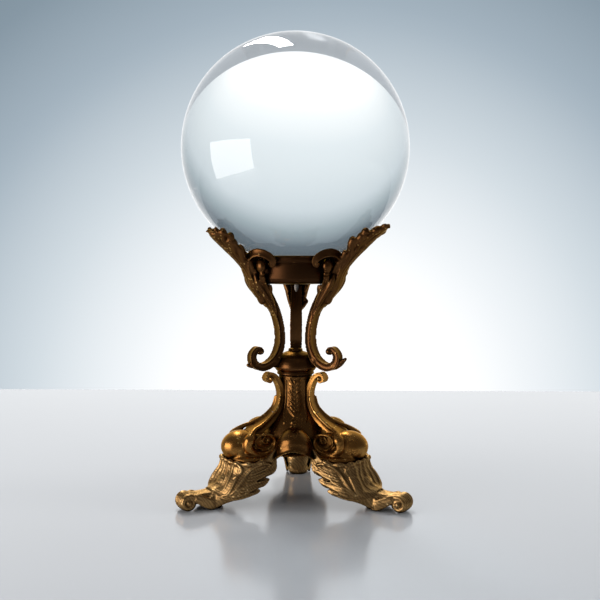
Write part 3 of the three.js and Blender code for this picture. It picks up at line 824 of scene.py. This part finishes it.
class Nodes:
    """The node tree of a material or a world, with short calls to add nodes and join them."""

    def __init__(self, owner, output="ShaderNodeOutputMaterial"):
        owner.use_nodes = True
        self.owner = owner
        self.tree = owner.node_tree
        self.tree.nodes.clear()
        self.output = self.add(output)

    def add(self, kind, **settings):
        node = self.tree.nodes.new(kind)
        for key, value in settings.items():
            setattr(node, key, value)
        return node

    def link(self, source, target):
        self.tree.links.new(source, target)

    def set(self, node, **values):
        for key, value in values.items():
            socket = node.inputs[key.replace("_", " ")]
            if isinstance(value, bpy.types.NodeSocket):
                self.link(value, socket)
            else:
                socket.default_value = value
        return node

    def finish(self, shader):
        self.link(shader.outputs[0], self.output.inputs["Surface"])
        return self.owner

    def noise(self, coords, scale, detail=4.0, roughness=0.55):
        node = self.add("ShaderNodeTexNoise")
        self.set(node, Vector=coords, Scale=scale, Detail=detail, Roughness=roughness)
        return node.outputs["Fac"]

    def ramp(self, value, *stops):
        node = self.add("ShaderNodeValToRGB")
        elements = node.color_ramp.elements
        while len(elements) < len(stops):
            elements.new(0.5)
        for element, (place, colour) in zip(elements, stops):
            element.position = place
            element.color = (*colour, 1) if isinstance(colour, tuple) else (colour,) * 3 + (1,)
        self.link(value, node.inputs["Fac"])
        return node.outputs["Color"]

    def math(self, operation, a, b, clamp=False):
        node = self.add("ShaderNodeMath", operation=operation, use_clamp=clamp)
        for socket, value in zip(node.inputs, (a, b)):
            if isinstance(value, bpy.types.NodeSocket):
                self.link(value, socket)
            else:
                socket.default_value = value
        return node.outputs[0]

    def mix(self, factor, a, b):
        node = self.add("ShaderNodeMix", data_type="RGBA")
        for socket, value in ((node.inputs[0], factor), (node.inputs[6], a), (node.inputs[7], b)):
            if isinstance(value, bpy.types.NodeSocket):
                self.link(value, socket)
            elif isinstance(value, tuple):
                socket.default_value = (*value, 1)
            else:
                socket.default_value = value
        return node.outputs[2]


def brass(name, recess_patina_and_shade, body, rubbed_and_highlight, wear_and_highlight, roughness, hatch):
    """Antique brass: crevices take a near-black colour that is patina and painted shade; raised
    edges and uneven patches are polished bright, the edges partly as a painted highlight.
    """
    n = Nodes(bpy.data.materials.new(name))
    coords = n.add("ShaderNodeTexCoord").outputs["Object"]
    pointed = n.add("ShaderNodeNewGeometry").outputs["Pointiness"]
    shade = n.add("ShaderNodeAmbientOcclusion", samples=8)
    n.set(shade, Distance=0.0022)
    broad = n.noise(coords, 55, 2)
    middle = n.noise(coords, 220, 4, 0.6)
    fine = n.noise(coords, 1100, 4, 0.6)
    edge = n.ramp(pointed, (0.515, 0.0), (0.63, 1.0))
    hollow = n.ramp(pointed, (0.40, 0.0), (0.495, 1.0))
    open_air = n.ramp(shade.outputs["AO"], (0.42, 0.0), (0.97, 1.0))
    patchy = n.math("ADD", n.math("MULTIPLY", broad, 0.6), n.math("MULTIPLY", middle, 0.4))
    # painted highlight: raised edges take the bright polished colour, partly real polish from
    # handling and partly a painted highlight; the noise patches are real uneven polish
    worn_and_highlit = n.math("ADD", n.math("MULTIPLY", edge, 0.7), n.math("MULTIPLY", patchy, 0.9))
    worn_and_highlit = n.math("SUBTRACT", worn_and_highlit, 0.60 - wear_and_highlight, clamp=True)
    worn_and_highlit = n.math("MULTIPLY", worn_and_highlit, open_air)
    metal = n.mix(n.ramp(worn_and_highlit, (0.02, 0.0), (0.5, 1.0)), body, rubbed_and_highlight)
    # painted shade: crevices found by ambient occlusion, and hollow parts of the skin, take the
    # near-black crevice colour, which stands for patina and shade together
    unshaded_and_clean = n.math("MULTIPLY", open_air, n.math("ADD", n.math("MULTIPLY", hollow, 0.7), 0.3))
    unshaded_and_clean = n.math("ADD", unshaded_and_clean, n.math("MULTIPLY", n.math("SUBTRACT", fine, 0.5), 0.2))
    colour = n.mix(n.ramp(unshaded_and_clean, (0.15, 0.0), (0.9, 1.0)), recess_patina_and_shade, metal)
    dull = n.math("SUBTRACT", 1.0, unshaded_and_clean, clamp=True)
    rough = n.math("ADD", roughness, n.math("MULTIPLY", dull, 0.3))
    rough = n.math("ADD", rough, n.math("MULTIPLY", middle, 0.1))
    bump_height = n.math("ADD", n.math("MULTIPLY", middle, 0.7), n.math("MULTIPLY", fine, 0.3))
    if hatch:
        lines = n.add("ShaderNodeTexWave", wave_type="BANDS", bands_direction="DIAGONAL")
        n.set(lines, Vector=coords, Scale=330, Distortion=6.0, Detail=2.0, Detail_Scale=1.2)
        dark = n.ramp(lines.outputs["Fac"], (0.25, hatch * 0.75), (0.6, 0.0))
        dark = n.math("MULTIPLY", dark, n.math("SUBTRACT", 1.0, edge))
        colour = n.mix(dark, colour, recess_patina_and_shade)
        bump_height = n.math("ADD", bump_height, n.math("MULTIPLY", lines.outputs["Fac"], hatch))
    bump = n.add("ShaderNodeBump")
    n.set(bump, Strength=0.35, Distance=0.0002, Height=bump_height)
    shader = n.add("ShaderNodeBsdfPrincipled")
    n.set(shader, Base_Color=colour, Metallic=1.0, Roughness=rough,
          Specular_Tint=(0.95, 0.74, 0.48, 1), Normal=bump.outputs["Normal"])
    return n.finish(shader)


def crystal():
    """Clear polished glass. Lamps shine straight through it, unbent, so its shadow is pale."""
    n = Nodes(bpy.data.materials.new("clear_crystal"))
    glass = n.add("ShaderNodeBsdfPrincipled")
    n.set(glass, Base_Color=(0.95, 0.985, 1.0, 1), Roughness=0.0, IOR=1.52,
          Transmission_Weight=1.0)
    through = n.add("ShaderNodeBsdfTransparent")
    n.set(through, Color=(0.9, 0.93, 0.95, 1))
    rays = n.add("ShaderNodeLightPath")
    choose = n.add("ShaderNodeMixShader")
    n.link(rays.outputs["Is Shadow Ray"], choose.inputs[0])
    n.link(glass.outputs[0], choose.inputs[1])
    n.link(through.outputs[0], choose.inputs[2])
    return n.finish(choose)


def felt():
    n = Nodes(bpy.data.materials.new("dark_felt"))
    coords = n.add("ShaderNodeTexCoord").outputs["Object"]
    fibre = n.noise(coords, 3200, 6, 0.75)
    patch = n.noise(coords, 260, 3)
    colour = n.mix(n.math("MULTIPLY", fibre, 0.9), (0.02, 0.016, 0.012), (0.09, 0.07, 0.05))
    colour = n.mix(n.math("MULTIPLY", patch, 0.4), colour, (0.05, 0.035, 0.025))
    bump = n.add("ShaderNodeBump")
    n.set(bump, Strength=0.7, Distance=0.0003, Height=fibre)
    shader = n.add("ShaderNodeBsdfPrincipled")
    n.set(shader, Base_Color=colour, Roughness=0.95, Sheen_Weight=0.4,
          Normal=bump.outputs["Normal"])
    return n.finish(shader)


def steel():
    n = Nodes(bpy.data.materials.new("dull_steel"))
    coords = n.add("ShaderNodeTexCoord").outputs["Object"]
    grain = n.noise(coords, 1800, 4, 0.6)
    tarnish = n.noise(coords, 160, 4)
    colour = n.mix(tarnish, (0.16, 0.14, 0.12), (0.46, 0.44, 0.41))
    rough = n.math("ADD", 0.3, n.math("MULTIPLY", grain, 0.25))
    bump = n.add("ShaderNodeBump")
    n.set(bump, Strength=0.3, Distance=0.0001, Height=grain)
    shader = n.add("ShaderNodeBsdfPrincipled")
    n.set(shader, Base_Color=colour, Metallic=1.0, Roughness=rough, Normal=bump.outputs["Normal"])
    return n.finish(shader)


DARK_BRASS = brass("dark_brass", (0.006, 0.003, 0.0015), (0.11, 0.047, 0.016),
                   (0.66, 0.38, 0.13), 0.0, 0.24, 0.0)
TURNED_BRASS = brass("turned_brass", (0.008, 0.004, 0.002), (0.055, 0.023, 0.009),
                     (0.36, 0.18, 0.06), -0.14, 0.33, 0.0)
# painted light: a lighter copy of dark_brass for the rear arm, whose front faces no lamp; its
# brighter body stands in for light falling on it
LIT_REAR_BRASS = brass("rear_brass_painted_lit", (0.010, 0.005, 0.0025), (0.20, 0.092, 0.033),
                   (0.66, 0.38, 0.13), 0.02, 0.33, 0.0)
COLUMN_BRASS = brass("column_brass", (0.018, 0.008, 0.003), (0.17, 0.076, 0.022),
                     (0.86, 0.50, 0.16), 0.0, 0.22, 0.0)
GOLD_BRASS = brass("gold_brass", (0.050, 0.020, 0.006), (0.34, 0.155, 0.038),
                   (0.98, 0.62, 0.20), 0.08, 0.22, 0.0)
LEAF_BRASS = brass("leaf_brass", (0.020, 0.011, 0.005), (0.42, 0.245, 0.095),
                   (0.96, 0.66, 0.30), 0.07, 0.28, 0.5)
CRYSTAL = crystal()
FELT = felt()
STEEL = steel()

# ---------------------------------------------------------------- the pieces

VOXEL = 0.3

arm_meshes = {}
for place, kind in ARM_KINDS.items():
    arm_meshes[place] = fused("arm_" + place, arm_shells(kind), VOXEL, 6)
    stand_clear(arm_meshes[place])
bracket_mesh = fused("scroll_bracket", bracket_shells(), VOXEL)
leg_mesh = fused("leg", leg_shells(), VOXEL)
# the rear leg's leaf ends a little higher than those in front
rear_leg_mesh = leg_mesh.copy()
rear_points = points_of(rear_leg_mesh)
raised = step_up(np.abs(rear_points[:, 1]), 4.8, 8.5) * step_up(21 - rear_points[:, 2], 0, 9)
rear_points[:, 2] += 6.5 * raised * (1 - step_up(rear_points[:, 0], 43, 46.5))
set_points(rear_leg_mesh, rear_points)
for place, degrees in LIMBS.items():
    # the rear arm takes the lighter copy of the brass, whose colour is painted light
    piece(f"cast_arm_{place}", arm_meshes[place], LIT_REAR_BRASS if place == "rear" else DARK_BRASS,
          f"arm_{place}", degrees)
    piece(f"cast_bracket_{place}", bracket_mesh, GOLD_BRASS,
          f"scroll_bracket_{place}", degrees)
    piece(f"cast_leg_{place}", rear_leg_mesh if place == "rear" else leg_mesh, LEAF_BRASS,
          f"leg_{place}", degrees)

piece("cast_column", fused("column", column_shells(), VOXEL), COLUMN_BRASS,
      "column")
piece("turned_cup", ring_mesh("cup", rounded(CUP_PROFILE)), TURNED_BRASS, "cup")
piece("turned_dome", ring_mesh("dome", rounded(DOME_PROFILE)), DARK_BRASS,
      "dome_collar")

ball_mesh = mesh_of("ball", [egg((0, 0, BALL_UP), (BALL_RADIUS,) * 3, 126, 256)])
piece("crystal_ball", ball_mesh, CRYSTAL, "ball", body="ball")

felt_low, felt_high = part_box("felt_seat")
felt_outer = (felt_high.x - felt_low.x) / 2 / MM
felt_profile = [[16.9, felt_low.z / MM], [felt_outer, felt_low.z / MM],
                [felt_outer, felt_high.z / MM], [16.9, felt_high.z / MM - 0.75]]
piece("felt_ring", ring_mesh("felt", rounded(felt_profile, 0.5)), FELT,
      "felt_seat", body="seat")

for name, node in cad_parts.items():
    if "screw" in name or name.startswith("rod_") or name == "tie_rod":
        node.data.materials.clear()
        node.data.materials.append(STEEL)

# ---------------------------------------------------------------- floor, light and camera

FLOOR_REACH = 1.6
FLOOR_FAR_EDGE = AXIS_Y + 0.335
floor_mesh = bpy.data.meshes.new("floor")
floor_mesh.from_pydata([(-FLOOR_REACH, -FLOOR_REACH, 0), (FLOOR_REACH, -FLOOR_REACH, 0),
                        (FLOOR_REACH, FLOOR_FAR_EDGE, 0), (-FLOOR_REACH, FLOOR_FAR_EDGE, 0)],
                       [], [(0, 1, 2, 3)])
floor = bpy.data.objects.new("floor", floor_mesh)
floor_look = Nodes(bpy.data.materials.new("pale_floor"))
floor_shader = floor_look.add("ShaderNodeBsdfPrincipled")
floor_look.set(floor_shader, Base_Color=(0.56, 0.57, 0.59, 1), Roughness=0.16)
floor_mesh.materials.append(floor_look.finish(floor_shader))
bpy.context.scene.collection.objects.link(floor)

studio = Nodes(bpy.data.worlds.new("studio"), "ShaderNodeOutputWorld")
sky = studio.add("ShaderNodeTexCoord").outputs["Generated"]


def brightness_from(direction):
    """1 where the sky lies in the given direction, 0 where it lies the opposite way."""
    toward = studio.add("ShaderNodeVectorMath", operation="DOT_PRODUCT")
    studio.link(sky, toward.inputs[0])
    toward.inputs[1].default_value = direction
    spread = studio.add("ShaderNodeMapRange")
    spread.inputs["From Min"].default_value = -1.0
    studio.link(toward.outputs["Value"], spread.inputs["Value"])
    return spread.outputs[0]


# The studio isn't one real room: each kind of ray looks up a sky of its own. The camera and matt
# surfaces see the sweep, which is dim but for a small bright patch low behind the object.
# Reflections look up the room, and rays bent by the ball look up crystal_view. Both are darker
# than the sweep in front of the object, and brighter over a far wider patch behind it. The patch
# in crystal_view is centred lower down.
GLOW = (0.0, 0.9848, -0.1736)
LOW_GLOW = (-0.080, 0.762, -0.643)
from_glow = brightness_from(GLOW)
sweep = studio.ramp(
    from_glow, (0.0, (0.34, 0.36, 0.38)), (0.45, (0.24, 0.27, 0.30)), (0.80, (0.17, 0.22, 0.26)),
    (0.90, (0.18, 0.24, 0.28)), (0.933, (0.24, 0.31, 0.37)), (0.955, (0.38, 0.46, 0.53)),
    (0.9755, (0.65, 0.72, 0.77)), (0.988, (0.88, 0.92, 0.95)), (0.997, (1.1, 1.1, 1.1)))
room = studio.ramp(
    from_glow, (0.0, (0.105, 0.10, 0.10)), (0.45, (0.13, 0.13, 0.135)),
    (0.62, (0.30, 0.32, 0.34)), (0.82, (0.75, 0.80, 0.85)), (1.0, (1.5, 1.5, 1.5)))
crystal_view = studio.ramp(
    brightness_from(LOW_GLOW), (0.0, (0.10, 0.11, 0.12)),
    (0.50, (0.17, 0.21, 0.24)), (0.61, (0.40, 0.47, 0.50)), (0.70, (0.70, 0.76, 0.79)),
    (0.80, (0.83, 0.88, 0.90)), (0.85, (0.90, 0.95, 0.97)), (0.90, (1.08, 1.10, 1.10)),
    (0.93, (1.25, 1.25, 1.25)))
# a ray bent by the ball counts as both glossy and transmitted, so it isn't a mirrored one
rays = studio.add("ShaderNodeLightPath").outputs
mirrored_ray = studio.math("SUBTRACT", rays["Is Glossy Ray"], rays["Is Transmission Ray"],
                           clamp=True)
seen = studio.mix(rays["Is Transmission Ray"], studio.mix(mirrored_ray, sweep, room),
                  crystal_view)
background = studio.add("ShaderNodeBackground")
studio.link(seen, background.inputs["Color"])
bpy.context.scene.world = studio.finish(background)


def softbox(name, place, aim, width, height, watts, colour):
    lamp = bpy.data.lights.new(name, "AREA")
    lamp.shape = "RECTANGLE"
    lamp.size = width
    lamp.size_y = height
    lamp.energy = watts
    lamp.color = colour
    box = bpy.data.objects.new(name, lamp)
    box.location = place
    box.rotation_euler = (Vector(aim) - Vector(place)).to_track_quat("-Z", "Y").to_euler()
    box.visible_camera = False
    box.visible_transmission = False
    bpy.context.scene.collection.objects.link(box)
    return box


bpy.context.scene.view_settings.view_transform = "Standard"
target = (0, AXIS_Y, 0.1)
# a window at the front left, a fill on the right that puts no reflection in the brass or glass,
# and a strip above and behind, which shows at the top of the ball
softbox("key", (-0.37, -0.2, 0.082), (0, AXIS_Y, 0.14), 0.36, 0.24, 1.25, (1.0, 0.95, 0.91))
side_fill = softbox("fill", (0.85, 0.0, 0.3), target, 0.2, 0.4, 2.4, (1.0, 0.97, 0.92))
side_fill.visible_glossy = False
softbox("top", (-0.19, 0.62, 1.08), target, 0.16, 0.7, 7, (1.0, 1.0, 1.0))

CAMERA = {"distance": 445, "height": 120.7, "shift_right": 2.2, "yaw": 1.5, "pitch": 3.14,
          "lens": 54.7}
yaw = math.radians(CAMERA["yaw"])
camera = bpy.data.cameras.new("camera")
camera.lens = CAMERA["lens"]
camera.sensor_width = 36
camera.clip_start = 0.01
viewer = bpy.data.objects.new("camera", camera)
away = Vector((math.sin(yaw), -math.cos(yaw), 0)) * CAMERA["distance"] * MM
sideways = Vector((math.cos(yaw), math.sin(yaw), 0)) * CAMERA["shift_right"] * MM
viewer.location = Vector((0, AXIS_Y, CAMERA["height"] * MM)) + away + sideways
viewer.rotation_euler = (math.radians(90 - CAMERA["pitch"]), 0, yaw)
bpy.context.scene.collection.objects.link(viewer)
bpy.context.scene.camera = viewer
